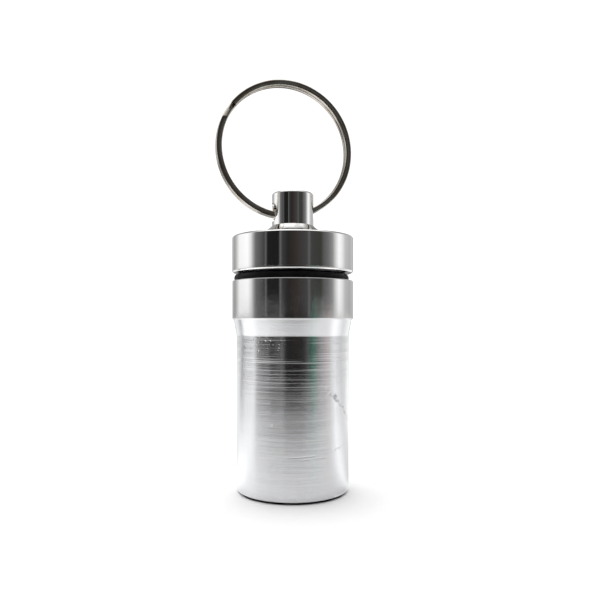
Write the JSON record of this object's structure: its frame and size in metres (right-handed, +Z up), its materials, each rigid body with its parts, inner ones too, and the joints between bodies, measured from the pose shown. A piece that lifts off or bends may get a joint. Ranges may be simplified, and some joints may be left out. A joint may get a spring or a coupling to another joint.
{
  "type": "pill fob",
  "caption": "Slim cylindrical metal pill fob: a screw cap with a drilled lug, a rubber seal ring under the cap, and a split ring through the lug.",
  "frame": {"origin": "centre of the bottle's flat base", "axes": "+Z up along the bottle's axis towards the cap and the key ring; +X to the right and -Y to the front, where the key ring is seen nearly face on"},
  "size_m": [0.0198, 0.0176, 0.0593],
  "materials": {
    "bottle": "satin turned body, bright collar",
    "o_ring": "moulded black rubber",
    "cap": "bright turned",
    "key_ring": "nickelled spring steel"
  },
  "bodies": {
    "bottle": {"bottle": "bottle"},
    "o_ring": {"o_ring": "o_ring"},
    "cap": {"cap": "cap"},
    "key_ring": {"key_ring": "key_ring"}
  },
  "joints": [
    {"name": "cap_turn", "type": "hinge", "parent": "bottle", "child": "o_ring", "pos_m": [0, 0, 0.03065], "axis": [0, 0, 1], "range_deg": [0, 1800]},
    {"name": "cap_lift", "type": "slide", "parent": "o_ring", "child": "cap", "axis": [0, 0, 1], "range_m": [0, 0.005]},
    {"name": "ring_swing", "type": "hinge", "parent": "cap", "child": "key_ring", "pos_m": [0, 0, 0.0402], "axis": [0.9659, 0.2588, 0], "range_deg": [-115, 115]}
  ],
  "couplings": [
    {"joint": "cap_turn", "follows": "cap_lift", "rad_per_m": 6283.2}
  ]
}
